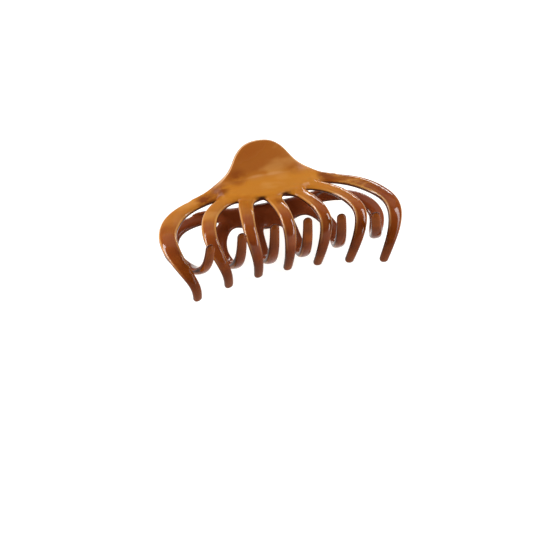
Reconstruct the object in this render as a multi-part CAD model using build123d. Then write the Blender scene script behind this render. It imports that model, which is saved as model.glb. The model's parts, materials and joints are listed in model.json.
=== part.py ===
from build123d import *
import math
import os

# A large claw clip for hair. Millimetres and degrees. It lies on the rim of the back jaw's
# thumb tab and on the ends of the front jaw's outer teeth.
# It is worked out upright: X along the clip, Y from the front jaw to the back jaw, Z up
# through the thumb tabs, with the crease under the tabs at height 0. Both jaws are shaped
# as the front one, and the back one is mirrored. At the end everything is laid down.

clip_length = 110.0
jaw_depth = 11.4
tip_cross = 15.2
tooth_drop = 35.7
front_teeth = 7
back_teeth = 6

tooth_width = 6.4
tooth_thickness = 3.4
corner_width_share = 0.70
corner_thickness_share = 0.84

body_reach = 27.5
body_height = 11.2
body_thickness = 3.6
body_round_share = 0.42
body_top_share = 0.06
body_top_inward = 1.4
body_foot_outward = 1.9
body_foot_inward = 3.4
body_foot_rise_share = 0.62
body_slices = (-1.0, -0.7, -0.35, 0.0, 0.35, 0.7, 1.0)
crease_depth = 7.8

tab_lean = 42.0
tab_height = 20.0
tab_radius = 14.9
tab_flare = 12.0
tab_foot = 0.0
tab_root_depth = 2.0
tab_root_share = 0.6
tab_thickness = 2.3

hinge_height = 2.2
pin_radius = 1.0
pin_clearance = 0.05
pin_head_radius = 1.7
pin_head_length = 0.7
knuckle_radius = 2.5
lug_thickness = 2.0
lug_root_height = 4.0
lug_gap = 0.3

wire_radius = 0.4
spring_turns = 7
coil_groove = 0.05
spring_gap = 0.25
spring_leg = 12.0
leg_gap = 0.3

# One row for each section of a tooth, from its root to its tip. The first two columns are
# shares of the half length: how far out the last tooth of the front and the back jaw stands
# in proportion to the others, and how much further the outer teeth spread. Own side is a
# share of the jaw's depth, crossing a share of the tips' reach past the middle, and drop a
# share of the teeth's depth. The end columns are added towards the outer teeth. Width and
# thickness are shares of a tooth's own, and twist is in degrees at the outer teeth.
sections = [
    {"front": 0.706, "front_end": -0.361, "back": 0.816, "back_end": -0.150, "own": 0.72, "own_end": -0.23,
     "cross": 0.0, "drop": 0.296, "drop_end": -0.270, "width": 1.08, "thickness": 0.82, "twist": 12.0},
    {"front": 0.859, "front_end": -0.053, "back": 0.958, "back_end": 0.130, "own": 0.906, "own_end": -0.55,
     "cross": 0.0, "drop": 0.513, "drop_end": -0.345, "width": 1.02, "thickness": 0.92, "twist": 12.0},
    {"front": 0.957, "front_end": 0.010, "back": 0.983, "back_end": 0.226, "own": 1.0, "own_end": -0.55,
     "cross": 0.0, "drop": 0.723, "drop_end": -0.266, "width": 0.97, "thickness": 1.0, "twist": 6.0},
    {"front": 0.997, "front_end": 0.005, "back": 0.940, "back_end": 0.151, "own": 0.84, "own_end": -0.33,
     "cross": 0.0, "drop": 0.895, "drop_end": -0.115, "width": 0.90, "thickness": 1.0, "twist": 0.0},
    {"front": 0.934, "front_end": 0.014, "back": 0.907, "back_end": 0.070, "own": 0.28, "own_end": -0.11,
     "cross": 0.0, "drop": 0.986, "drop_end": 0.045, "width": 0.80, "thickness": 1.0, "twist": 0.0},
    {"front": 0.852, "front_end": 0.024, "back": 0.891, "back_end": 0.017, "own": 0.0, "own_end": 0.03,
     "cross": 0.372, "drop": 1.0, "drop_end": 0.165, "width": 0.70, "thickness": 0.96, "twist": 0.0},
    {"front": 0.804, "front_end": 0.054, "back": 0.881, "back_end": -0.023, "own": 0.0, "own_end": 0.01,
     "cross": 1.0, "drop": 0.950, "drop_end": 0.205, "width": 0.62, "thickness": 0.90, "twist": 0.0},
]

half_reach = clip_length / 2 - 0.5 * tooth_width
root_sink = 0.3
heart_depth = 0.35 * body_height
root_back = 0.2
shaped_rows = (0, 1, 3, 5, 7)
share_step = 0.02
tip_round = 0.35 * tooth_thickness
rim_round = 0.45 * tab_thickness
coil_radius = pin_radius + spring_gap + wire_radius
coil_pitch = 2 * wire_radius + coil_groove
front_ear = spring_turns * coil_pitch / 2 + lug_gap + lug_thickness
back_ear = front_ear + lug_gap + lug_thickness


def surface_point(kind, share, row):
    """A point of the jaw's middle surface: share is -1 to 1 along the clip."""
    square = share * share
    x = half_reach * row[kind] * share * (1 + row[kind + "_end"] * square)
    y = tip_cross * row["cross"] - jaw_depth * (row["own"] + row["own_end"] * square)
    z = -tooth_drop * (row["drop"] + row["drop_end"] * square)
    return Vector(x, y, z)


def root_point(points):
    """Where a tooth starts: inside the body, part way to its heart and back along the tooth."""
    heart = Vector(0, -crease_depth, -heart_depth)
    return points[0] + (heart - points[0]) * root_sink + (points[0] - points[1]) * root_back


def across_tooth(kind, share, row, run):
    """The tooth's width direction: along the jaw's middle surface, turned by the row's twist."""
    beside = surface_point(kind, share + share_step, row) - surface_point(kind, share - share_step, row)
    outward = run.cross(beside).normalized()
    across = outward.cross(run).normalized()
    turn = math.radians(row["twist"]) * share * abs(share)
    return across * math.cos(turn) + outward * math.sin(turn)


def section(point, across, run, width, thickness):
    """A flattened oval face: two broad arcs and two narrow ones."""
    half_width, half_thickness = width / 2, thickness / 2
    corner_x, corner_y = corner_width_share * half_width, corner_thickness_share * half_thickness
    arcs = [
        ThreePointArc((corner_x, corner_y), (0, half_thickness), (-corner_x, corner_y)),
        ThreePointArc((-corner_x, corner_y), (-half_width, 0), (-corner_x, -corner_y)),
        ThreePointArc((-corner_x, -corner_y), (0, -half_thickness), (corner_x, -corner_y)),
        ThreePointArc((corner_x, -corner_y), (half_width, 0), (corner_x, corner_y)),
    ]
    return Plane(origin=point, x_dir=across, z_dir=run) * make_face(Curve(arcs).edges())


def tooth(kind, share):
    """One curved tooth, swept along its middle line, with a rounded tip."""
    points = [surface_point(kind, share, row) for row in sections]
    points.insert(0, root_point(points))
    rows = [sections[0]] + sections
    path = Spline(*points)
    slices = []
    for i in shaped_rows:
        run = path % path.param_at_point(points[i])
        across = across_tooth(kind, share, rows[i], run)
        width = tooth_width * rows[i]["width"]
        slices.append(section(points[i], across, run, width, tooth_thickness * rows[i]["thickness"]))
    bar = sweep(sections=slices, path=path, multisection=True)
    tip = bar.faces().sort_by_distance(points[-1])[0]
    return fillet(tip.edges(), tip_round)


def body():
    """The wide middle that the teeth spring from, between the crease and the webs.

    Towards its ends its top and foot come inward and its foot rises, by the square of the place.
    """
    slices = []
    for part in body_slices:
        square = part * part
        top = Vector(0, -crease_depth + body_top_inward * square, body_top_share * body_height)
        foot = Vector(0, -crease_depth - body_foot_outward + body_foot_inward * square,
                      -body_height * (1 - body_foot_rise_share * square))
        middle = (top + foot) / 2 + Vector(part * body_reach, 0, 0)
        plane = Plane(origin=middle, x_dir=(top - foot).normalized(), z_dir=(1, 0, 0))
        length, corner = (top - foot).length, body_round_share * body_thickness
        slices.append(plane * RectangleRounded(length, body_thickness, corner))
    return loft(slices)


def tab():
    """The thumb tab: a round paddle with hollow shoulders, leaning away from the middle."""
    lean = math.radians(tab_lean)
    plane = Plane(origin=(0, -crease_depth, 0), x_dir=(1, 0, 0),
                  z_dir=(0, -math.cos(lean), -math.sin(lean)))
    middle = tab_height - tab_radius
    hollow = tab_foot + tab_flare
    foot = math.sqrt((tab_radius + tab_flare) ** 2 - (hollow - middle) ** 2)
    share = tab_radius / (tab_radius + tab_flare)
    meet = (foot * share, middle + (hollow - middle) * share)
    angle = (math.atan2(middle - hollow, -foot) - math.pi / 2) / 2
    bend = (foot + tab_flare * math.cos(angle), hollow + tab_flare * math.sin(angle))
    top = ThreePointArc(meet, (0, tab_height), (-meet[0], meet[1]))
    right = ThreePointArc((foot, tab_foot), bend, meet)
    left = ThreePointArc((-meet[0], meet[1]), (-bend[0], bend[1]), (-foot, tab_foot))
    root = foot * tab_root_share
    under = Polyline((-foot, tab_foot), (-root, -tab_root_depth), (root, -tab_root_depth), (foot, tab_foot))
    face = make_face(Curve([top, right, left, under]).edges())
    plate = extrude(plane * face, tab_thickness / 2, both=True)
    rim = [edge for edge in plate.edges() if edge.geom_type == GeomType.CIRCLE]
    return fillet(rim, rim_round)


def lug(outer_face):
    """A hinge ear on the jaw's inner side; its outer face stands this far from the middle."""
    root = -crease_depth
    high = hinge_height + knuckle_radius
    low = hinge_height - knuckle_radius
    outline = Polyline((0, high), (root, lug_root_height / 2), (root, -lug_root_height), (0, low), close=True)
    ear = make_face(outline) + Pos(0, hinge_height) * Circle(knuckle_radius)
    ear -= Pos(0, hinge_height) * Circle(pin_radius + pin_clearance)
    plane = Plane(origin=(outer_face, 0, 0), x_dir=(0, 1, 0), z_dir=(1, 0, 0))
    return extrude(plane * ear, -lug_thickness)


def jaw(kind, teeth, outer_face):
    """One moulding: body, thumb tab, teeth and two hinge ears."""
    row = [tooth(kind, (2 * number - teeth + 1) / (front_teeth - 1)) for number in range(teeth)]
    ears = [lug(outer_face), lug(lug_thickness - outer_face)]
    return body().fuse(tab(), *row, *ears)


def turned(length, radius):
    """A round bar of this length along the hinge, centred on the clip."""
    return Pos(0, 0, hinge_height) * Rot(0, 90, 0) * Cylinder(radius, length)


def hinge_pin(half_length):
    shaft = turned(2 * half_length, pin_radius)
    head_place = half_length + pin_head_length / 2
    for side in (-1, 1):
        shaft += Pos(side * head_place, 0, 0) * turned(pin_head_length, pin_head_radius)
    return shaft


def spring_leg_on(side):
    """A straight leg that leaves the coil and lies along the inside of one tab."""
    lean = math.radians(tab_lean)
    inward = Vector(0, math.cos(lean), math.sin(lean))
    along = Vector(0, -math.sin(lean), math.cos(lean))
    hub = Vector(0, 0, hinge_height)
    seat = tab_thickness / 2 + leg_gap + wire_radius
    end = Vector(0, -crease_depth, 0) + inward * seat + along * spring_leg
    way = end - hub
    heading = math.atan2(way.Z, way.Y) - math.acos(coil_radius / way.length)
    start = hub + Vector(0, math.cos(heading), math.sin(heading)) * coil_radius
    run = (end - start).normalized()
    start -= run * wire_radius
    bar = Cylinder(wire_radius, (end - start).length, align=(Align.CENTER, Align.CENTER, Align.MIN))
    leg = Plane(origin=start, z_dir=run) * bar
    if side > 0:
        leg = mirror(leg, about=Plane.XZ)
    return Pos(-side * (spring_turns - 1) * coil_pitch / 2, 0, 0) * leg


def torsion_spring():
    """A close-wound coil round the pin, with a leg against each tab."""
    length = spring_turns * coil_pitch - 2 * wire_radius
    coil = turned(length, coil_radius) - turned(2 * length, coil_radius - wire_radius / 2)
    for turn in range(spring_turns):
        place = (turn - (spring_turns - 1) / 2) * coil_pitch
        coil += Plane(origin=(place, 0, hinge_height), z_dir=(1, 0, 0)) * Torus(coil_radius, wire_radius)
    return coil + spring_leg_on(-1) + spring_leg_on(1)


def lying_angle():
    """How far the tabs' end is raised above level when the clip lies down.

    It rests on the round rim of the back jaw's tab and on the ends of the front jaw's outer
    teeth, so the angle is that of the line that touches both.
    """
    lean = math.radians(tab_lean)
    tip = surface_point("front", 1, sections[-1])
    reach = tab_height - rim_round
    out = tab_thickness / 2 - rim_round
    rim_y = crease_depth + reach * math.sin(lean) + out * math.cos(lean)
    rim_z = reach * math.cos(lean) - out * math.sin(lean)
    across, up = rim_y - tip.Y, rim_z - tip.Z
    return math.degrees(math.acos(-rim_round / math.hypot(across, up)) - math.atan2(up, across))


def lay_down(pieces):
    """Turns every piece from upright to lying, with the floor at height 0 under the middle."""
    turn = Rot(lying_angle() - 90, 0, 0)
    lying = {name: turn * piece for name, piece in pieces.items()}
    box = Compound(list(lying.values())).bounding_box()
    shift = Pos(0, -(box.min.Y + box.max.Y) / 2, -box.min.Z)
    return {name: shift * piece for name, piece in lying.items()}


def clip():
    pieces = {
        "front_jaw": jaw("front", front_teeth, front_ear),
        "back_jaw": mirror(jaw("back", back_teeth, back_ear), about=Plane.XZ),
        "hinge_pin": hinge_pin(back_ear + lug_gap),
        "torsion_spring": torsion_spring(),
    }
    return lay_down(pieces)


os.makedirs("parts", exist_ok=True)
for name, piece in clip().items():
    export_step(piece, "parts/" + name + ".step")
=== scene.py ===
import bpy
import json
import math
import numpy as np
from mathutils import Matrix


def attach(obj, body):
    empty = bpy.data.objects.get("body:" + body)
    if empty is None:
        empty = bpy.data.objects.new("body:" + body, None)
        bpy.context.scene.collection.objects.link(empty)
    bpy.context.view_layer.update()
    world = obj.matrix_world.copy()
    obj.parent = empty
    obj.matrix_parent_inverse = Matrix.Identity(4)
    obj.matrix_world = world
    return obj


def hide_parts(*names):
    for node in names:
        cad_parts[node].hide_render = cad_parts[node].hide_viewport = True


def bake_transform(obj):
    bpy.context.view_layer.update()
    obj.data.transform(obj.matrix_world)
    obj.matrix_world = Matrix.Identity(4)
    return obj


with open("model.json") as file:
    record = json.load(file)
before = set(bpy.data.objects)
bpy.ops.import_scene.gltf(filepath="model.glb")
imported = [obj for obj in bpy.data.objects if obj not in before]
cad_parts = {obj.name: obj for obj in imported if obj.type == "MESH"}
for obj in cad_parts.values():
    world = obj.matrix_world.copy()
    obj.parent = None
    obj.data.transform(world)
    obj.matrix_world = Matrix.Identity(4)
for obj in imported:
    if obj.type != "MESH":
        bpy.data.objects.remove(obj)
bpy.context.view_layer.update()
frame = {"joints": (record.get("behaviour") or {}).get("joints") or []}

# Everything is worked out upright, in millimetres: X along the clip, Y from the front jaw
# to the back jaw, Z up through the thumb tabs.
lying = {"tiltDeg": 6.742, "hingeHeight": 2.2, "hinge": frame["joints"][0]["pos_m"]}
tilt = math.radians(lying["tiltDeg"])
layDown = np.array([[1, 0, 0],
                    [0, math.sin(tilt), math.cos(tilt)],
                    [0, -math.cos(tilt), math.sin(tilt)]])


# Upright millimetres to lying metres: the place less the hinge, laid down, over a thousand,
# plus the joint's place.
def toRow(points):
    hinge = np.array([0, 0, lying["hingeHeight"]])
    return (np.asarray(points, float) - hinge) @ layDown.T / 1000 + np.array(lying["hinge"])


# Angles in degrees and distance in millimetres from the centre, in the upright frame, and
# where on the picture the centre falls.
camera = {"centre": (0, 0, -15), "azimuth": 21.71, "elevation": -42.79, "roll": -26.07,
          "distance": 481.1, "focalPx": 1062.0, "centrePx": (275.29, 217.27), "framePx": 560,
          "sensorMm": 36, "nearClip": 0.01}


# The view line has an azimuth and an elevation. Roll turns the picture about it, then the aim
# is turned a little, so that the centre falls on its own pixel.
def makeCamera():
    a, e, r = (math.radians(camera[k]) for k in ("azimuth", "elevation", "roll"))
    back = np.array([-math.sin(a) * math.cos(e), -math.cos(a) * math.cos(e), math.sin(e)])
    right = np.array([math.cos(a), -math.sin(a), 0.0])
    up = np.cross(back, right)
    right, up = right * math.cos(r) + up * math.sin(r), up * math.cos(r) - right * math.sin(r)
    dx = (camera["centrePx"][0] - camera["framePx"] / 2) / camera["focalPx"]
    dy = (camera["framePx"] / 2 - camera["centrePx"][1]) / camera["focalPx"]
    aim = unit(back + right * dx + up * dy)          # the axis passes this far beside the centre
    side = unit(np.cross(up, aim))
    place = np.array(camera["centre"], float) + back * camera["distance"]
    data = bpy.data.cameras.new("camera")
    data.sensor_width = camera["sensorMm"]
    data.lens = camera["focalPx"] / camera["framePx"] * camera["sensorMm"]
    data.clip_start = camera["nearClip"]
    obj = standAt("camera", data, layDown @ np.stack([side, np.cross(aim, side), aim], axis=1), toRow(place))
    bpy.context.scene.camera = obj
    print("camera at", toRow(place).round(4), "looking", (-layDown @ aim).round(3))


# Puts a camera or light in the scene, with its three axes as columns and its place.
def standAt(name, data, axes, place):
    obj = bpy.data.objects.new(name, data)
    bpy.context.scene.collection.objects.link(obj)
    world = np.eye(4)
    world[:3, :3], world[:3, 3] = axes, place
    obj.matrix_world = Matrix(world.tolist())
    return obj


# A vector over its length.
def unit(vectors):
    return vectors / np.maximum(np.linalg.norm(vectors, axis=-1, keepdims=True), 1e-12)


# sRGB hex to linear: a small part is divided, the rest is a power of 2.4.
def linear(code):
    parts = [int(code[i:i + 2], 16) / 255 for i in (1, 3, 5)]
    return [v / 12.92 if v <= 0.04045 else ((v + 0.055) / 1.055) ** 2.4 for v in parts] + [1.0]


# Gives each named socket its value: a link from another node's output, a hex colour or a number.
def feed(tree, inputs, values):
    for socket, value in values.items():
        if isinstance(value, bpy.types.NodeSocket):
            tree.links.new(value, inputs[socket])
        else:
            inputs[socket].default_value = linear(value) if isinstance(value, str) else value


# Adds a node with its properties, its sockets and, on a ramp, its stops. Gives back one output.
def addNode(tree, kind, sockets, output=0, stops=(), **settings):
    node = tree.nodes.new("ShaderNode" + kind)
    for key, value in settings.items():
        setattr(node, key, value)
    feed(tree, node.inputs, sockets)
    if stops:
        elements = node.color_ramp.elements
        while len(elements) < len(stops):
            elements.new(0.5)
        for element, (position, value) in zip(elements, stops):
            element.position = position
            element.color = linear(value) if isinstance(value, str) else (value, value, value, 1)
    return node.outputs[output]


# A new material with its node tree and its shader's sockets.
def newMaterial(name):
    material = bpy.data.materials.new(name)
    material.use_nodes = True
    return material, material.node_tree, material.node_tree.nodes["Principled BSDF"].inputs


# Each light: degrees right of and above the camera's line, distance, width and height in
# metres, and watts. Its height runs the way of the camera's up.
studio = {"paper": {"Base Color": "#B4B4B2", "Roughness": 0.9, "Specular IOR Level": 0.1,
                    "Emission Color": "#B4B4B2", "Emission Strength": 1.9},
          "halfFloor": 25.0, "room": {"Color": "#FFFFFF", "Strength": 0.18},
          "lights": [("overheadSoftbox", 0, 84, 0.60, 0.80, 0.40, 0.3),
                     ("leftPanel", -65, 10, 0.45, 0.14, 0.75, 3.5),
                     ("rightPanel", 65, 8, 0.45, 0.14, 0.75, 3.0),
                     ("backRim", -8, 122, 0.50, 0.40, 0.03, 0.5)],
          "target": (0, 0, 0.015)}


# A square floor of matt white paper, with no gloss. It is lit from below too, so the part's
# shadow has no edge on it.
def makeFloor():
    material, tree, inputs = newMaterial("mattPaper")
    feed(tree, inputs, studio["paper"])
    half = studio["halfFloor"]
    mesh = bpy.data.meshes.new("floor")
    corners = [(-half, -half, 0), (half, -half, 0), (half, half, 0), (-half, half, 0)]
    mesh.from_pydata(corners, [], [(0, 1, 2, 3)])
    mesh.materials.append(material)
    floor = bpy.data.objects.new("floor", mesh)
    bpy.context.scene.collection.objects.link(floor)


# A light stands on the camera's line turned right, then up, by its angles, and faces the target.
def makeLights():
    world = bpy.data.worlds.new("softRoom")
    world.use_nodes = True
    feed(world.node_tree, world.node_tree.nodes["Background"].inputs, studio["room"])
    bpy.context.scene.world = world
    view = np.array(bpy.context.scene.camera.matrix_world)[:3, :3]
    for name, right, above, distance, width, height, power in studio["lights"]:
        data = bpy.data.lights.new(name, "AREA")
        data.shape = "RECTANGLE"
        data.size, data.size_y, data.energy = width, height, power
        a, b = math.radians(right), math.radians(above)
        back = view @ np.array([math.sin(a) * math.cos(b), math.sin(b), math.cos(a) * math.cos(b)])
        up = view @ np.array([-math.sin(a) * math.sin(b), math.cos(b), -math.cos(a) * math.sin(b)])
        place = np.array(studio["target"]) + back * distance
        standAt(name, data, np.stack([np.cross(up, back), up, back], axis=1), place)
    bpy.context.scene.view_settings.view_transform = "Standard"


makeCamera()
makeFloor()
makeLights()
print("studio ready")

# Sizes are in millimetres. Depth is from the hinge out to a jaw's bulge, cross how far the
# tips pass the middle, drop how far the teeth hang below the crease under the tab. Over the
# mixing length the finish of one form gives way to that of the next, and mixingDepth is the
# deepest that a place counts below a form's skin.
jaw = {"length": 110.0, "depth": 11.4, "cross": 15.2, "drop": 35.7, "crease": 7.8,
       "frontTeeth": 7, "backTeeth": 6, "mixing": 0.8, "mixingDepth": 0.5}
crease = np.array([0, -jaw["crease"], 0])
# How the skin is found: cell size, how many cells a coarse one spans, how near the skin is
# looked at finely, and the distance that stands for far away. A place on a tooth's own line has
# no direction to its skin, and counts as deepest.
sampling = {"cell": 0.42, "coarse": 4, "band": 1.6, "far": 6.0, "margin": 7,
            "chunk": 20000, "low": (-58.0, -26.0, -47.0), "high": (58.0, 19.0, 18.0),
            "relaxRounds": 3, "relaxShare": 0.5, "settleRounds": 3, "settleStep": 0.3,
            "slopeStep": 0.03, "leastSlope": 0.2,
            "nearestRounds": 3, "nearestShare": 0.8, "tiny": 1e-6, "deepest": 1.5}


# A natural cubic spline: its bend changes evenly between points and is nothing at both ends.
# Gives places evenly spaced along it, and each one's position in the table of points.
def naturalSpline(points, count, fineCount=1200):
    points = np.asarray(points, float)
    last = len(points) - 1
    chord = np.concatenate([[0], np.cumsum(np.linalg.norm(np.diff(points, axis=0), axis=1))])
    gap = np.diff(chord)
    system, pull = np.eye(last + 1), np.zeros_like(points)
    for i in range(1, last):
        system[i, i - 1:i + 2] = gap[i - 1], 2 * (gap[i - 1] + gap[i]), gap[i]
        pull[i] = 6 * ((points[i + 1] - points[i]) / gap[i] - (points[i] - points[i - 1]) / gap[i - 1])
    bend = np.linalg.solve(system, pull)

    def at(s):
        i = np.clip(np.searchsorted(chord, s, side="right") - 1, 0, last - 1)
        a, b, g = chord[i + 1] - s, s - chord[i], gap[i]
        place = (bend[i] * (a ** 3 / (6 * g))[:, None] + bend[i + 1] * (b ** 3 / (6 * g))[:, None]
                 + (points[i] / g[:, None] - bend[i] * (g / 6)[:, None]) * a[:, None]
                 + (points[i + 1] / g[:, None] - bend[i + 1] * (g / 6)[:, None]) * b[:, None])
        return place, i + b / g

    evenChord = np.linspace(0, chord[-1], fineCount)
    fine, _ = at(evenChord)
    run = np.concatenate([[0], np.cumsum(np.linalg.norm(np.diff(fine, axis=0), axis=1))])
    return at(np.interp(np.linspace(0, run[-1], count), run, evenChord))


# The outer teeth are wider by outerWidths at the rows of outerRows. backRaise lifts the back
# jaw's outer arms, and backLift its whole row. The root is sunk by shares of the way to the
# heart of the body and back along the tooth.
toothSize = {"width": 6.4, "thickness": 3.4, "squareness": 2.35, "tipRadius": 2.1, "tipShort": 0.5,
             "samples": 130, "web": 1.9, "rootSink": 0.3, "rootBack": 0.2, "heartShare": 0.35,
             "outerRows": [0, 0.7, 1.5, 3.0, 4.6], "outerWidths": [-0.25, 0.0, 0.32, 0.3, 0.0],
             "backRaise": 2.8, "backLift": 0.5, "shareStep": 0.02, "evening": 9,
             "outerSlowing": 0.7}         # an outer tooth keeps its root's colour for longer
# One row for each section of a tooth, root to tip: how far out in the front and the back
# jaw, depth on its own side, reach past the middle, drop, width and thickness. An End column
# is added towards the outer teeth, and the twist is theirs, in degrees.
columnNames = ["front", "frontEnd", "back", "backEnd", "own", "ownEnd", "cross", "drop", "dropEnd",
               "width", "thickness", "twist"]
sections = np.array([
    [0.706, -0.361, 0.816, -0.150, 0.720, -0.23, 0.000, 0.296, -0.270, 1.08, 0.82, 12.0],
    [0.859, -0.053, 0.958, 0.130, 0.906, -0.55, 0.000, 0.513, -0.345, 1.02, 0.92, 12.0],
    [0.957, 0.010, 0.983, 0.226, 1.000, -0.55, 0.000, 0.723, -0.266, 0.97, 1.00, 6.0],
    [0.997, 0.005, 0.940, 0.151, 0.840, -0.33, 0.000, 0.895, -0.115, 0.90, 1.00, 0.0],
    [0.934, 0.014, 0.907, 0.070, 0.280, -0.11, 0.000, 0.986, 0.045, 0.80, 1.00, 0.0],
    [0.852, 0.024, 0.891, 0.017, 0.000, 0.03, 0.372, 1.000, 0.165, 0.70, 0.96, 0.0],
    [0.804, 0.054, 0.881, -0.023, 0.000, 0.01, 1.000, 0.950, 0.205, 0.62, 0.90, 0.0]])


# x is the half reach times the share, more for outer teeth. y is the crossing less the depth on
# the own side. z is minus the drop. Each has an added term with the share squared.
def surfacePoint(kind, share, rows):
    square = share * share
    row = dict(zip(columnNames, rows.T))
    x = (jaw["length"] - toothSize["width"]) / 2 * row[kind] * share * (1 + row[kind + "End"] * square)
    y = jaw["cross"] * row["cross"] - jaw["depth"] * (row["own"] + row["ownEnd"] * square)
    z = -jaw["drop"] * (row["drop"] + row["dropEnd"] * square)
    if kind == "back":
        upperHalf = np.clip(2 - 2 * row["drop"], 0, 1)
        z = z + toothSize["backRaise"] * square * upperHalf + toothSize["backLift"]
    return np.stack([x, y, z], axis=1)


# A tooth's middle line is a spline through its sections, from a root inside the body. At each
# place on it stand its run, its width direction along the jaw's surface, turned by the twist,
# and its half width and half thickness, evened out along it.
def toothLine(kind, share):
    points = surfacePoint(kind, share, sections)
    heart = crease + [0, 0, -toothSize["heartShare"] * bodySize["height"]]
    root = (points[0] + (heart - points[0]) * toothSize["rootSink"]
            + (points[0] - points[1]) * toothSize["rootBack"])
    place, position = naturalSpline(np.vstack([root, points]), toothSize["samples"])
    at = np.clip(position - 1, 0, len(sections) - 1)
    rows = np.stack([np.interp(at, np.arange(len(sections)), column) for column in sections.T], axis=1)
    row = dict(zip(columnNames, rows.T))
    step = np.linalg.norm(place[1] - place[0])
    run = unit(np.gradient(place, axis=0))
    beside = (surfacePoint(kind, share + toothSize["shareStep"], rows)
              - surfacePoint(kind, share - toothSize["shareStep"], rows))
    outward = unit(np.cross(run, beside))
    turn = (np.radians(row["twist"]) * share * abs(share))[:, None]
    across = unit(np.cross(outward, run)) * np.cos(turn) + outward * np.sin(turn)
    even = toothSize["evening"]
    wider = 1 + share ** 4 * np.interp(at, toothSize["outerRows"], toothSize["outerWidths"])
    halves = [row["width"] * (toothSize["width"] * wider) / 2, row["thickness"] * toothSize["thickness"] / 2]
    width, thickness = (np.convolve(np.pad(half, even // 2, mode="edge"), np.ones(even) / even, mode="valid")
                        for half in halves)
    return {"place": place, "run": run, "across": across, "width": width, "thickness": thickness,
            "step": step, "last": len(place) - 1 - (toothSize["tipRadius"] + toothSize["tipShort"]) / step,
            "slowing": 1 + toothSize["outerSlowing"] * share ** 2}


# Place, run, width direction and half sizes at a position between samples. The place is a
# cubic through both samples with their runs, and the rest changes evenly.
def alongLine(line, t):
    i = np.clip(t.astype(int), 0, len(line["place"]) - 2)
    f = (t - i)[:, None]
    p0, p1 = line["place"][i], line["place"][i + 1]
    m0, m1 = line["run"][i] * line["step"], line["run"][i + 1] * line["step"]
    place = ((2 * f ** 3 - 3 * f ** 2 + 1) * p0 + (f ** 3 - 2 * f ** 2 + f) * m0
             + (3 * f ** 2 - 2 * f ** 3) * p1 + (f ** 3 - f ** 2) * m1)
    run = unit((6 * f ** 2 - 6 * f) * p0 + (3 * f ** 2 - 4 * f + 1) * m0
               + (6 * f - 6 * f ** 2) * p1 + (3 * f ** 2 - 2 * f) * m1)
    across = line["across"][i] * (1 - f) + line["across"][i + 1] * f
    f = f[:, 0]
    halves = [line[k][i] * (1 - f) + line[k][i + 1] * f for k in ("width", "thickness")]
    return place, run, across, halves


# Splits a long list of places, to save memory.
def inChunks(places):
    count = max(1, len(places) // sampling["chunk"])
    return [part for part in np.array_split(places, count) if len(part)]


# Distance to a bar whose section is a superellipse: on the skin the n-th powers of u over the
# half width and v over the half thickness add up to 1. u and v are measured from the nearest
# place on the middle line, and a dome ends it. Also how far along, and how squarely the
# normal faces out from the jaw.
def toothField(points, line, normals=None):
    low, high = line["place"].min(0) - sampling["margin"], line["place"].max(0) + sampling["margin"]
    distance = np.full(len(points), sampling["far"])
    place, facing = np.zeros(len(points)), np.zeros(len(points))
    n, tiny = toothSize["squareness"], sampling["tiny"]
    for part in inChunks(np.flatnonzero(np.all((points > low) & (points < high), axis=1))):
        p = points[part]
        square = (p ** 2).sum(1)[:, None] + (line["place"] ** 2).sum(1)[None] - 2 * p @ line["place"].T
        t = square.argmin(1).astype(float)
        for _ in range(sampling["nearestRounds"]):     # from the nearest sample to the nearest place
            centre, run, across, halves = alongLine(line, t)
            ahead = ((p - centre) * run).sum(1) / line["step"]
            t = np.clip(t + sampling["nearestShare"] * ahead, 0, line["last"])
        centre, run, across, (a, b) = alongLine(line, t)
        off = p - centre
        across = unit(across - run * (across * run).sum(1, keepdims=True))
        outward = np.cross(run, across)
        u, v, s = (off * across).sum(1), (off * outward).sum(1), (off * run).sum(1)
        section = ((np.abs(u) / a) ** n + (np.abs(v) / b) ** n) ** (1 / n)
        level = np.sqrt(section ** 2 + (s / toothSize["tipRadius"]) ** 2)
        ray = np.sqrt(u * u + v * v + s * s)
        distance[part] = np.where(level > tiny, ray * (1 - 1 / np.maximum(level, tiny)), -sampling["deepest"])
        place[part] = t / line["last"]
        if normals is not None:
            facing[part] = (normals[part] * outward).sum(1)
    return distance, place, facing


# The smaller of two distances, less a cube of how nearly they are equal: a fillet.
def softUnion(a, b, reach):
    nearly = np.maximum(reach - np.abs(a - b), 0) / reach
    return np.minimum(a, b) - nearly ** 3 * reach / 6


# Distance to a box from how far each coordinate lies outside it, with edges of this radius.
def roundedBox(offsets, radius):
    grown = np.stack(offsets) + radius
    return np.linalg.norm(np.maximum(grown, 0), axis=0) + np.minimum(grown.max(0), 0) - radius


# Towards its ends the body's top and foot come inward, its foot rises and it gets thinner.
bodySize = {"reach": 22.0, "height": 11.2, "thickness": 3.6, "round": 1.6, "blend": 4.0,
            "topShare": 0.06, "topInward": 1.4, "footOutward": 1.9, "footInward": 3.4,
            "footRise": 0.62, "thinning": 0.10, "outward": (0, -0.98, 0.16)}


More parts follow.
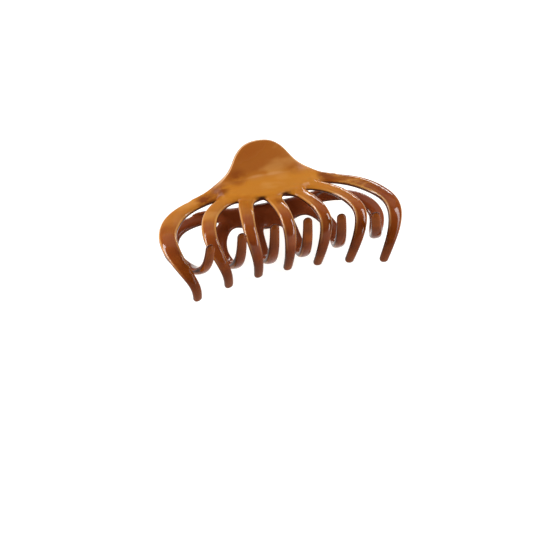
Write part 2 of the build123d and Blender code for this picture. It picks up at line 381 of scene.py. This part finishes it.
# A curved slab: in each slice along the clip a rounded box from the crease down to the webs,
# with its ends moved by the square of the share of the reach.
def bodyField(points):
    x, y, z = points.T
    square = np.clip(x / bodySize["reach"], -1, 1) ** 2
    topY = -jaw["crease"] + bodySize["topInward"] * square
    topZ = bodySize["topShare"] * bodySize["height"]
    footY = -jaw["crease"] - bodySize["footOutward"] + bodySize["footInward"] * square
    footZ = -bodySize["height"] * (1 - bodySize["footRise"] * square)
    dy, dz = topY - footY, topZ - footZ
    length = np.hypot(dy, dz)
    offY, offZ = y - (topY + footY) / 2, z - (topZ + footZ) / 2
    along, out = (offY * dy + offZ * dz) / length, (offY * dz - offZ * dy) / length
    half = bodySize["thickness"] / 2 * (1 - bodySize["thinning"] * square)
    return roundedBox([np.abs(along) - length / 2, np.abs(out) - half, np.abs(x) - bodySize["reach"]],
                      bodySize["round"])


# Three times the square less twice the cube, from 0 to 1.
def smoothStep(f):
    f = np.clip(f, 0, 1)
    return f * f * (3 - 2 * f)


# Distance in the plane to the nearest edge of a closed outline, and minus that inside it,
# where a line to one side crosses the outline an odd number of times.
def outlineField(u, v, outline):
    a, b = outline, np.roll(outline, -1, axis=0)
    edge = b - a
    du, dv = u[:, None] - a[:, 0], v[:, None] - a[:, 1]
    f = np.clip((du * edge[:, 0] + dv * edge[:, 1]) / (edge ** 2).sum(1), 0, 1)
    near = np.hypot(du - f * edge[:, 0], dv - f * edge[:, 1]).min(1)
    crossing = (a[:, 1] > v[:, None]) != (b[:, 1] > v[:, None])
    slope = du < edge[:, 0] * dv / np.where(np.abs(edge[:, 1]) < 1e-9, 1e-9, edge[:, 1])
    return np.where((crossing & slope).sum(1) % 2 == 1, -near, near)


# The tab's outline goes from the shoulder to the top: half width and height in its own plane.
# From the half width footFrom, over footFade, its foot steps back into the arm and thins. The
# window is where it is worked out at all.
tabSize = {"lean": 42.0, "height": 20.0, "thickness": 2.3, "rim": 1.0, "blend": 9.0,
           "rootReach": 22.0, "rootDepth": 3.5, "footFrom": 14.0, "footFade": 16.0,
           "footSetBack": 3.0, "footTaper": 0.3, "samples": 90,
           "outline": [(34.0, -1.7), (29.0, 0.3), (24.2, 2.5), (19.8, 5.1), (16.5, 7.9), (14.3, 10.6),
                       (12.4, 13.6), (9.9, 16.5), (7.0, 18.6), (3.5, 19.7), (0.0, 20.0)],
           "window": {"across": 41, "off": 7.5, "below": -10, "above": 27}}
lean = math.radians(tabSize["lean"])
tabOut = np.array([0, -math.cos(lean), -math.sin(lean)])
tabUp = np.array([0, -math.sin(lean), math.cos(lean)])


# A spline through the half outline and its mirror image, closed by a straight root.
def tabOutline():
    side = np.array(tabSize["outline"], float)
    both = np.vstack([side, side[-2::-1] * [-1, 1]])
    smooth, _ = naturalSpline(np.c_[both, np.zeros(len(both))], tabSize["samples"])
    reach, depth = tabSize["rootReach"], tabSize["rootDepth"]
    return np.vstack([[-reach, -depth], [reach, -depth], smooth[:, :2]])


# A plate in the leaning plane through the crease: a rounded box of the outline's distance and
# of how far off the plane a point is. Its foot steps back and thins by a smooth step.
def tabField(points):
    off = points - crease
    w, v, u = off @ tabOut, off @ tabUp, points[:, 0]
    foot = smoothStep((np.abs(u) - tabSize["footFrom"]) / tabSize["footFade"])
    w = w + tabSize["footSetBack"] * foot
    half = tabSize["thickness"] / 2 * (1 - tabSize["footTaper"] * foot)
    distance = np.full(len(points), sampling["far"])
    window = tabSize["window"]
    near = ((np.abs(w) < window["off"]) & (np.abs(u) < window["across"])
            & (v > window["below"]) & (v < window["above"]))
    for part in inChunks(np.flatnonzero(near)):
        flat = outlineField(u[part], v[part], tabOutlinePoints)
        distance[part] = roundedBox([flat, np.abs(w[part]) - half[part]], tabSize["rim"])
    return distance


# An ear's outer face stands this far from the middle. For the finish it counts as a little
# nearer than it is, and as facing inwards, so it takes the inner faces' painted shade.
ear = {"knuckle": 2.5, "bore": 1.05, "thickness": 2.0, "rootHeight": 4.0, "round": 0.25, "blend": 0.6,
       "frontFace": 5.275, "backFace": 7.575, "boreReach": 12, "near": 0.5, "facing": -0.7,
       "window": {"beside": 6, "y": (-14, 9), "z": (-10, 11)}}


# Two plates across the clip, each a disc at the hinge with straight sides back to the body.
def earField(points, face):
    x, y, z = points.T
    hinge, knuckle, window = lying["hingeHeight"], ear["knuckle"], ear["window"]
    outline = np.array([[0, hinge - knuckle], [-jaw["crease"], -ear["rootHeight"]],
                        [-jaw["crease"], ear["rootHeight"] / 2], [0, hinge + knuckle]])
    distance = np.full(len(points), sampling["far"])
    near = ((np.abs(x) < face + window["beside"]) & (y > window["y"][0]) & (y < window["y"][1])
            & (z > window["z"][0]) & (z < window["z"][1]))
    near = np.flatnonzero(near)
    disc = np.hypot(y[near], z[near] - hinge) - knuckle
    flat = np.minimum(outlineField(y[near], z[near], outline), disc)
    side = np.abs(np.abs(x[near]) - (face - ear["thickness"] / 2)) - ear["thickness"] / 2
    distance[near] = roundedBox([flat, side], ear["round"])
    return distance


# Body, tab, teeth and ears run together with fillets, less the bore through the ears.
def jawField(points, kind, lines):
    distance = softUnion(bodyField(points), tabField(points), tabSize["blend"])
    teeth = np.full(len(points), sampling["far"])
    for line in lines:
        teeth = softUnion(teeth, toothField(points, line)[0], toothSize["web"])
    distance = softUnion(distance, teeth, bodySize["blend"])
    distance = softUnion(distance, earField(points, ear[kind + "Face"]), ear["blend"])
    bore = ear["bore"] - np.hypot(points[:, 1], points[:, 2] - lying["hingeHeight"])
    return np.maximum(distance, np.where(np.abs(points[:, 0]) < ear["boreReach"], bore, -sampling["far"]))


# Samples the field coarsely, then finely only near the skin. Far from it the coarse value stays.
def fieldGrid(field, low, high, cell):
    coarse = sampling["coarse"]
    count = np.ceil((high - low) / (cell * coarse)).astype(int)
    axes = [low[k] + (np.arange(count[k]) + 0.5) * cell * coarse for k in range(3)]
    centres = np.stack(np.meshgrid(*axes, indexing="ij"), axis=-1).reshape(-1, 3)
    rough = field(centres).reshape(count)
    close = np.abs(rough) < cell * coarse * sampling["band"]
    values, fine = (np.repeat(np.repeat(np.repeat(grid, coarse, 0), coarse, 1), coarse, 2)
                    for grid in (rough, close))
    values[fine] = field(low + (np.argwhere(fine) + 0.5) * cell)
    return values


# One vertex in each cell that the skin crosses, at the mean of where the skin cuts its edges.
def cellVertices(values, low, cell):
    inside = values < 0
    shape = np.array(values.shape) - 1
    offsets = np.array([(a, b, c) for a in (0, 1) for b in (0, 1) for c in (0, 1)])
    total = sum(inside[a:a + shape[0], b:b + shape[1], c:c + shape[2]].astype(np.int8)
                for a, b, c in offsets)
    active = (total > 0) & (total < 8)
    number = np.full(active.shape, -1, np.int64)
    number[active] = np.arange(active.sum())
    cells = np.argwhere(active)
    pairs = [(i, j) for i in range(8) for j in range(i + 1, 8)
             if np.abs(offsets[i] - offsets[j]).sum() == 1]
    summed, hits = np.zeros((len(cells), 3)), np.zeros(len(cells))
    for i, j in pairs:
        va, vb = values[tuple((cells + offsets[i]).T)], values[tuple((cells + offsets[j]).T)]
        cut = (va < 0) != (vb < 0)
        f = np.where(cut, va / np.where(cut, va - vb, 1), 0)
        summed += np.where(cut[:, None], offsets[i] + f[:, None] * (offsets[j] - offsets[i]), 0)
        hits += cut
    return low + (cells + summed / hits[:, None] + 0.5) * cell, number


# One quad round each grid edge that changes sign, wound to face outwards.
def edgeQuads(values, number):
    inside = values < 0
    quads = []
    for axis in range(3):
        other, third = (axis + 1) % 3, (axis + 2) % 3
        first = [slice(1, -1)] * 3
        first[axis] = slice(0, -1)
        second = list(first)
        second[axis] = slice(1, None)
        a, b = inside[tuple(first)], inside[tuple(second)]
        edges = np.argwhere(a != b)
        start = a[tuple(edges.T)]
        base = edges + 1
        base[:, axis] -= 1
        around = []
        for i, j in ((-1, -1), (0, -1), (0, 0), (-1, 0)):
            neighbour = base.copy()
            neighbour[:, other] += i
            neighbour[:, third] += j
            around.append(number[tuple(neighbour.T)])
        quad = np.stack(around, axis=1)
        quads.append(np.where(start[:, None], quad, quad[:, ::-1]))
    return np.vstack(quads)


# Moves each vertex part of the way towards the mean of its neighbours, which evens out the net.
def relax(vertices, quads):
    a = quads.ravel()
    b = np.roll(quads, -1, axis=1).ravel()
    count = np.bincount(a, minlength=len(vertices)) + np.bincount(b, minlength=len(vertices))
    for _ in range(sampling["relaxRounds"]):
        total = np.stack([np.bincount(a, vertices[b, k], len(vertices))
                          + np.bincount(b, vertices[a, k], len(vertices)) for k in range(3)], axis=1)
        vertices = vertices + sampling["relaxShare"] * (total / count[:, None] - vertices)
    return vertices


# Moves each vertex against the field's slope by the distance over the slope's square, until it
# is on the skin. Gives the slopes too, which are the normals.
def settle(vertices, field):
    slope = np.zeros_like(vertices)
    reach, longest = sampling["slopeStep"], sampling["settleStep"]
    for _ in range(sampling["settleRounds"]):
        value = field(vertices)
        for k in range(3):
            step = np.zeros(3)
            step[k] = reach
            slope[:, k] = (field(vertices + step) - field(vertices - step)) / (2 * reach)
        size = np.maximum((slope ** 2).sum(1), sampling["leastSlope"])
        vertices = vertices - np.clip(value / size, -longest, longest)[:, None] * slope
    return vertices, unit(slope)


# A mesh from arrays of places and of faces that all have as many corners, with smooth shading.
def meshObject(name, vertices, faces, material):
    mesh = bpy.data.meshes.new(name)
    mesh.vertices.add(len(vertices))
    mesh.vertices.foreach_set("co", np.asarray(vertices, np.float32).ravel())
    mesh.loops.add(faces.size)
    mesh.loops.foreach_set("vertex_index", faces.astype(np.int32).ravel())
    mesh.polygons.add(len(faces))
    mesh.polygons.foreach_set("loop_start", np.arange(0, faces.size, faces.shape[1], dtype=np.int32))
    mesh.polygons.foreach_set("use_smooth", np.full(len(faces), True))
    mesh.update(calc_edges=True)
    mesh.validate()
    mesh.materials.append(material)
    obj = bpy.data.objects.new(name, mesh)
    bpy.context.scene.collection.objects.link(obj)
    return obj


# What the plastic's pattern, its painted shade and its painted highlights follow: how far along
# its tooth a place is, how high up the tab and how squarely it faces out. Each is a mean over
# body, tab, ears and teeth, weighted by e to minus the distance over the mixing length.
def finishPlaces(kind, lines, vertices, slope):
    tabHeight = np.clip((vertices - crease) @ tabUp / tabSize["height"], 0, 1)
    earDistance = earField(vertices, ear[kind + "Face"]) - ear["near"]
    forms = [(bodyField(vertices), 0, 0, slope @ bodySize["outward"]),
             (tabField(vertices), 0, tabHeight, slope @ tabOut),
             (earDistance, 0, 0, ear["facing"])]
    for line in lines:
        distance, place, facing = toothField(vertices, line, slope)
        forms.append((distance, place ** line["slowing"], 0, facing))
    weights = [np.exp(-np.clip(form[0], -jaw["mixingDepth"], sampling["far"]) / jaw["mixing"])
               for form in forms]
    total = sum(weights)
    return {name: sum(weight * form[k] for weight, form in zip(weights, forms)) / total
            for k, name in ((1, "alongTooth"), (2, "tabHeight"), (3, "facing"))}


# A jaw is one closed skin, worked out as the front one. The back one is its mirror image.
def makeJaw(name, kind, teeth, material):
    shares = [(2 * i - teeth + 1) / (jaw["frontTeeth"] - 1) for i in range(teeth)]
    lines = [toothLine(kind, share) for share in shares]

    def field(points):
        return jawField(points, kind, lines)

    low, high, cell = np.array(sampling["low"]), np.array(sampling["high"]), sampling["cell"]
    values = fieldGrid(field, low, high, cell)
    vertices, number = cellVertices(values, low, cell)
    quads = edgeQuads(values, number)
    vertices, slope = settle(relax(vertices, quads), field)
    places = finishPlaces(kind, lines, vertices, slope)
    if kind == "back":
        vertices = vertices * [1, -1, 1]
        quads = quads[:, ::-1]
    obj = meshObject(name, toRow(vertices), quads, material)
    for attributeName, amounts in places.items():
        attribute = obj.data.attributes.new(attributeName, "FLOAT", "POINT")
        attribute.data.foreach_set("value", np.asarray(amounts, np.float32))
    print(name, len(vertices), "vertices", 2 * len(quads), "triangles")
    return obj


tabOutlinePoints = tabOutline()

# Colours are sRGB. Stops are (how far, colour or share). Along goes from a tooth's root, 0, to
# its tip, 1. Height goes up the tab, and facing from the inside, -1, to the outside, 1.
tortoise = {
    # Darker towards the tips: partly the plastic's own deeper tone, partly painted shade on the lower teeth,
    # which face away from the overhead light.
    "alongColours": [(0.0, "#B87424"), (0.26, "#AE6820"), (0.42, "#8E450D"), (0.60, "#6F2E06"),
                     (0.82, "#5C280A"), (1.0, "#6C3511")],
    # rim is the colour of a painted highlight along the tab's rounded rim.
    "bend": "#8E450D", "tab": "#98561E", "pale": "#CE9652", "red": "#641C04", "rim": "#D8A878",
    # inside and side are painted shade: on the inner faces, and on the side faces of the teeth and arms.
    "inside": "#7E3C1C", "side": "#3A1607",
    "drawnOut": (0.5, 1.0, 1.0),                       # marbling is twice as long along the clip
    "clouds": {"Scale": 75.0, "Detail": 3.0, "Roughness": 0.5},        # about 13 mm across
    "stains": {"Scale": 300.0, "Detail": 4.0, "Roughness": 0.6},       # about 3 mm across
    "ripple": {"Scale": 420.0, "Detail": 2.0},                         # moulding ripple of 2.4 mm
    "rippleDepth": {"Strength": 0.25, "Distance": 0.0002},
    "cloudShift": 0.3,                                 # how far the clouds shift the colours along
    # The tab colour takes over a third of the way up the tab; its browner tone is partly painted shade, as
    # the tab leans away from the overhead light.
    "tabHeight": [(0.0, 0.0), (0.34, 1.0)],
    "paleAlong": [(0.25, 1.0), (0.5, 0.0)], "paleClouds": [(0.36, 0.35), (0.46, 0.0)],
    "darkClouds": [(0.54, 0.0), (0.70, 0.5)],
    "stainEdge": [(0.32, 0.0), (0.54, 1.0)],
    # Where the painted rim highlight lies: high on the tab, on its rounded rim.
    "rimHighlightHeight": [(0.0, 0.0), (0.10, 0.1), (0.24, 1.0)],
    "rimHighlightFacing": [(0.35, 0.0), (0.5, 1.0), (0.8, 1.0), (0.93, 0.0)],
    "rimHighlightAlong": [(0.05, 1.0), (0.2, 0.0)], "rimHighlightStrength": 0.9,
    # A painted highlight in the pale colour, along the edges of the teeth's front faces.
    "edgeHighlightFacing": [(0.45, 0.0), (0.68, 1.0), (0.80, 1.0), (0.92, 0.0)],
    "edgeHighlightAlong": [(0.08, 0.0), (0.25, 0.85), (0.5, 0.65), (0.75, 0.0)],
    "insideShadeFacing": [(0.0, 1.0), (0.25, 0.0)], "sideShadeFacing": [(0.10, 1.0), (0.55, 0.0)],
    "roughAlong": [(0.0, 0.30), (0.22, 0.10)], "roughRim": [(0.0, 1.0), (1.0, 0.5)],
    "roughClouds": [(0.3, 0.75), (0.7, 1.0)],
    "polishAlong": [(0.0, 0.12), (0.12, 0.18), (0.26, 0.50), (0.52, 0.50), (0.72, 0.09), (1.0, 0.09)],
    "shader": {"IOR": 1.49, "Specular IOR Level": 0.3, "Subsurface Weight": 0.10,
               "Subsurface Radius": (1.0, 0.35, 0.12), "Subsurface Scale": 0.002},
    # red-brown patches: place in upright millimetres, radius, strength
    "patches": [((-13, -8, 5), 8, 0.8), ((-22, -7.5, -1), 6, 0.7), ((-29, -6, -3), 6, 0.8),
                ((30, -6, -1), 7, 0.75), ((38, -5.5, -5), 8, 0.55), ((47, -5, -12), 9, 0.6),
                ((51, -5, -20), 8, 0.5), ((2, -13, -17), 5, 0.6), ((19, -12, -20), 6, 0.5),
                ((14, -9, 3), 5, 0.35)]}


# A share made of several ramps, one for each (source, stops), all multiplied.
def shareOf(tree, *factors):
    share = None
    for source, stops in factors:
        ramp = addNode(tree, "ValToRGB", {"Fac": source}, stops=tortoise[stops])
        share = ramp if share is None else addNode(tree, "Math", {0: share, 1: ramp}, operation="MULTIPLY")
    return share


# Moulded acetate: deep gloss on the teeth, satin on the tab, soft marbling. The base is a ramp along
# the tooth, shifted by the clouds, and each layer is mixed over it by its share. Besides the
# plastic's own tones, the layers paint shade on the inner faces and sides and highlights on the rim
# and the tooth edges.
def tortoisePlastic(name):
    material, tree, inputs = newMaterial(name)
    along, height, facing = (addNode(tree, "Attribute", {}, output="Fac", attribute_name=key)
                             for key in ("alongTooth", "tabHeight", "facing"))
    place = addNode(tree, "TexCoord", {}, output="Object")
    drawn = addNode(tree, "Mapping", {"Vector": place, "Scale": tortoise["drawnOut"]})
    clouds = addNode(tree, "TexNoise", {"Vector": drawn, **tortoise["clouds"]})
    stains = addNode(tree, "TexNoise", {"Vector": drawn, **tortoise["stains"]})
    ripple = addNode(tree, "TexNoise", {"Vector": place, **tortoise["ripple"]})

    shift = addNode(tree, "Math", {0: clouds, 1: 0.5}, operation="SUBTRACT")
    shift = addNode(tree, "Math", {0: shift, 1: tortoise["cloudShift"]}, operation="MULTIPLY")
    shift = addNode(tree, "Math", {0: along, 1: shift}, operation="ADD")
    # The base: darker towards the tips, partly painted shade.
    colour = shareOf(tree, (shift, "alongColours"))
    blotchy = shareOf(tree, (stains, "stainEdge"))
    # rim: a painted highlight on the tab's rounded rim.
    rim = shareOf(tree, (height, "rimHighlightHeight"), (facing, "rimHighlightFacing"), (along, "rimHighlightAlong"))
    # How edge-on a face is, for the painted shade on the sides.
    edgeOn = addNode(tree, "Math", {0: facing}, operation="ABSOLUTE")

    # The tab's browner colour is partly painted shade.
    layers = [(shareOf(tree, (height, "tabHeight")), "tab"),
              (shareOf(tree, (along, "paleAlong"), (clouds, "paleClouds")), "pale"),
              (shareOf(tree, (clouds, "darkClouds")), "bend")]
    for centre, radius, strength in tortoise["patches"]:
        away = addNode(tree, "VectorMath", {0: place, 1: toRow(centre)}, output="Value", operation="DISTANCE")
        fade = addNode(tree, "MapRange", {"Value": away, "From Min": radius / 1000, "From Max": radius / 3000,
                                          "To Min": 0.0, "To Max": strength}, interpolation_type="SMOOTHSTEP")
        layers.append((addNode(tree, "Math", {0: fade, 1: blotchy}, operation="MULTIPLY"), "red"))
    layers += [
        (addNode(tree, "Math", {0: rim, 1: tortoise["rimHighlightStrength"]}, operation="MULTIPLY"), "rim"),
        (shareOf(tree, (facing, "edgeHighlightFacing"), (along, "edgeHighlightAlong")), "pale"),      # painted highlight along the edges of the teeth's front faces
        # Painted shade: the inner faces take the inside colour.
        (shareOf(tree, (facing, "insideShadeFacing")), "inside"),
        (shareOf(tree, (edgeOn, "sideShadeFacing")), "side")]      # painted shade on the side faces of the teeth and arms
    for share, layerColour in layers:
        colour = addNode(tree, "Mix", {0: share, 6: colour, 7: tortoise[layerColour]}, output=2,
                         data_type="RGBA")

    gloss = addNode(tree, "Math", {0: shareOf(tree, (along, "roughAlong"), (clouds, "roughClouds")),
                                   1: shareOf(tree, (rim, "roughRim"))}, operation="MULTIPLY")
    bump = addNode(tree, "Bump", {"Height": ripple, **tortoise["rippleDepth"]})
    feed(tree, inputs, tortoise["shader"])
    feed(tree, inputs, {"Base Color": colour, "Roughness": gloss, "Normal": bump,
                        "Specular IOR Level": shareOf(tree, (along, "polishAlong"))})      # worn at the tips
    return material


plastic = tortoisePlastic("tortoisePlastic")
print("plastic ready")
frontJaw = makeJaw("frontJaw", "front", jaw["frontTeeth"], plastic)
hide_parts("front_jaw")
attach(frontJaw, "front")
backJaw = makeJaw("backJaw", "back", jaw["backTeeth"], plastic)
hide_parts("back_jaw")
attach(backJaw, "back")

# The head's profile goes out from the shaft's end: how far along, and how far in from the
# head's radius, or the share of that radius.
pin = {"radius": 1.0, "halfLength": 7.875, "headRadius": 1.7, "headLength": 0.7, "around": 48,
       "neck": 0.05, "neckLength": 0.02,
       "headEdge": [(0.0, 0.12), (0.05, 0.03), (0.14, 0.0), (0.32, 0.02), (0.48, 0.14)],
       "headDome": [(0.60, 0.72), (0.68, 0.35)]}
wire = {"radius": 0.4, "coilRadius": 1.65, "turns": 7, "pitch": 0.85, "leg": 12.0, "gap": 0.3, "perTurn": 36,
        "around": 14, "legSamples": 24, "capShares": (0.95, 0.6, 0.2)}
steel = {"pinColour": "#B9B6B0", "pinRoughness": 0.22, "wireColour": "#A9A59D", "wireRoughness": 0.26,
         "patches": {"Scale": 900.0, "Detail": 3.0}, "patchRoughness": 0.16}      # patches of 1 mm


# Drawn steel, zinc bright: a metal whose roughness rises a little in patches of noise.
def brightSteel(name, colour, roughness):
    material, tree, inputs = newMaterial(name)
    place = addNode(tree, "TexCoord", {}, output="Object")
    patches = addNode(tree, "TexNoise", {"Vector": place, **steel["patches"]})
    spread = addNode(tree, "MapRange", {"Value": patches, "To Min": roughness,
                                        "To Max": roughness + steel["patchRoughness"]})
    feed(tree, inputs, {"Base Color": colour, "Metallic": 1.0, "Roughness": spread})
    return material


# Triangles between rings, and a fan to a pole at each end. They are turned round if the closed
# mesh has a negative volume, so that they face outwards.
def closedRings(rings, poles):
    count, around = rings.shape[:2]
    i, j = np.meshgrid(np.arange(count - 1), np.arange(around), indexing="ij")
    k = (j + 1) % around
    corners = [i * around + j, i * around + k, (i + 1) * around + k, (i + 1) * around + j]
    quads = np.stack(corners, axis=-1).reshape(-1, 4)
    vertices = np.concatenate([rings.reshape(-1, 3), poles])
    j, k, last = j[0], k[0], (count - 1) * around
    start = np.stack([np.full(around, count * around), k, j], axis=1)
    end = np.stack([np.full(around, count * around + 1), last + j, last + k], axis=1)
    faces = np.vstack([quads[:, [0, 1, 2]], quads[:, [0, 2, 3]], start, end])
    a, b, c = (vertices[faces[:, corner]] for corner in range(3))
    return vertices, faces if (a * np.cross(b, c)).sum() > 0 else faces[:, ::-1]


# A round section carried along a path without twisting, with rings on a half sphere at each end.
def tube(path, radius, around):
    run = unit(np.gradient(path, axis=0))
    side = np.zeros_like(path)
    side[0] = unit(np.cross(run[0], [0.3, 0.2, 0.9]))         # any way but along the wire
    for i in range(1, len(path)):
        side[i] = unit(side[i - 1] - run[i] * (side[i - 1] @ run[i]))
    other = np.cross(run, side)
    angle = np.linspace(0, 2 * math.pi, around, endpoint=False)
    ring = np.cos(angle)[None, :, None] * side[:, None] + np.sin(angle)[None, :, None] * other[:, None]
    caps = []
    for end, way, shares in ((0, -1, wire["capShares"]), (-1, 1, wire["capShares"][::-1])):
        caps.append([path[end] + radius * (way * run[end] * s + ring[end] * math.sqrt(1 - s * s))
                     for s in shares])
    rings = np.concatenate([caps[0], path[:, None] + ring * radius, caps[1]])
    return closedRings(rings, np.stack([path[0] - run[0] * radius, path[-1] + run[-1] * radius]))


# A profile turned about the hinge: a shaft with a small domed head at each end.
def makePin(material):
    shaft, end, head, hinge = pin["radius"], pin["halfLength"], pin["headRadius"], lying["hingeHeight"]
    half = [(0.0, shaft), (end / 2, shaft), (end - pin["neckLength"], shaft), (end, shaft + pin["neck"])]
    half += [(end + x, head - inset) for x, inset in pin["headEdge"]]
    half += [(end + x, head * share) for x, share in pin["headDome"]]
    profile = np.array([(-x, y) for x, y in half[:0:-1]] + half)
    angle = np.linspace(0, 2 * math.pi, pin["around"], endpoint=False)
    x = np.repeat(profile[:, :1], len(angle), axis=1)
    rings = np.stack([x, profile[:, 1:] * np.cos(angle), profile[:, 1:] * np.sin(angle) + hinge], axis=-1)
    pole = end + pin["headLength"]
    vertices, faces = closedRings(rings, np.array([[-pole, 0, hinge], [pole, 0, hinge]]))
    return meshObject("hingePin", toRow(vertices), faces, material)


# A helix round the hinge. From each end a straight leg leaves it at a tangent and lies inside
# one tab, so the helix turns from the one tangent to the other and as many whole turns more.
def springPath():
    hub = np.array([0, lying["hingeHeight"]])
    seat = tabSize["thickness"] / 2 + wire["gap"] + wire["radius"]
    end = crease[1:] - tabOut[1:] * seat + tabUp[1:] * wire["leg"]
    way = end - hub
    heading = math.atan2(way[1], way[0]) - math.acos(wire["coilRadius"] / np.linalg.norm(way))
    half = wire["turns"] * wire["pitch"] / 2 - wire["radius"]
    first, circle = math.pi - heading, 2 * math.pi
    turned = heading - first
    turned -= circle * math.ceil((turned + circle * (wire["turns"] - 1)) / circle)
    f = np.linspace(0, 1, wire["turns"] * wire["perTurn"])
    angle = first + turned * f
    coil = np.stack([-half + 2 * half * f, wire["coilRadius"] * np.cos(angle),
                     lying["hingeHeight"] + wire["coilRadius"] * np.sin(angle)], axis=1)
    f = np.linspace(1, 0, wire["legSamples"])[:-1, None]
    backEnd = np.array([coil[0, 0], -end[0], end[1]])
    frontEnd = np.array([coil[-1, 0], end[0], end[1]])
    backLeg = coil[0] + (backEnd - coil[0]) * f
    frontLeg = (frontEnd + (coil[-1] - frontEnd) * f)[::-1]
    return np.vstack([backLeg, coil, frontLeg])


pinSteel = brightSteel("drawnSteelPin", steel["pinColour"], steel["pinRoughness"])
springSteel = brightSteel("springSteelWire", steel["wireColour"], steel["wireRoughness"])
hingePin = makePin(pinSteel)
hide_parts("hinge_pin")
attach(hingePin, "back")

springVertices, springFaces = tube(springPath(), wire["radius"], wire["around"])
spring = meshObject("torsionSpring", toRow(springVertices), springFaces, springSteel)
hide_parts("torsion_spring")
toRow([0, 1.4, lying["hingeHeight"]])
toRow([0, -1.4, lying["hingeHeight"]])
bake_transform(spring)
print("pin and spring ready")
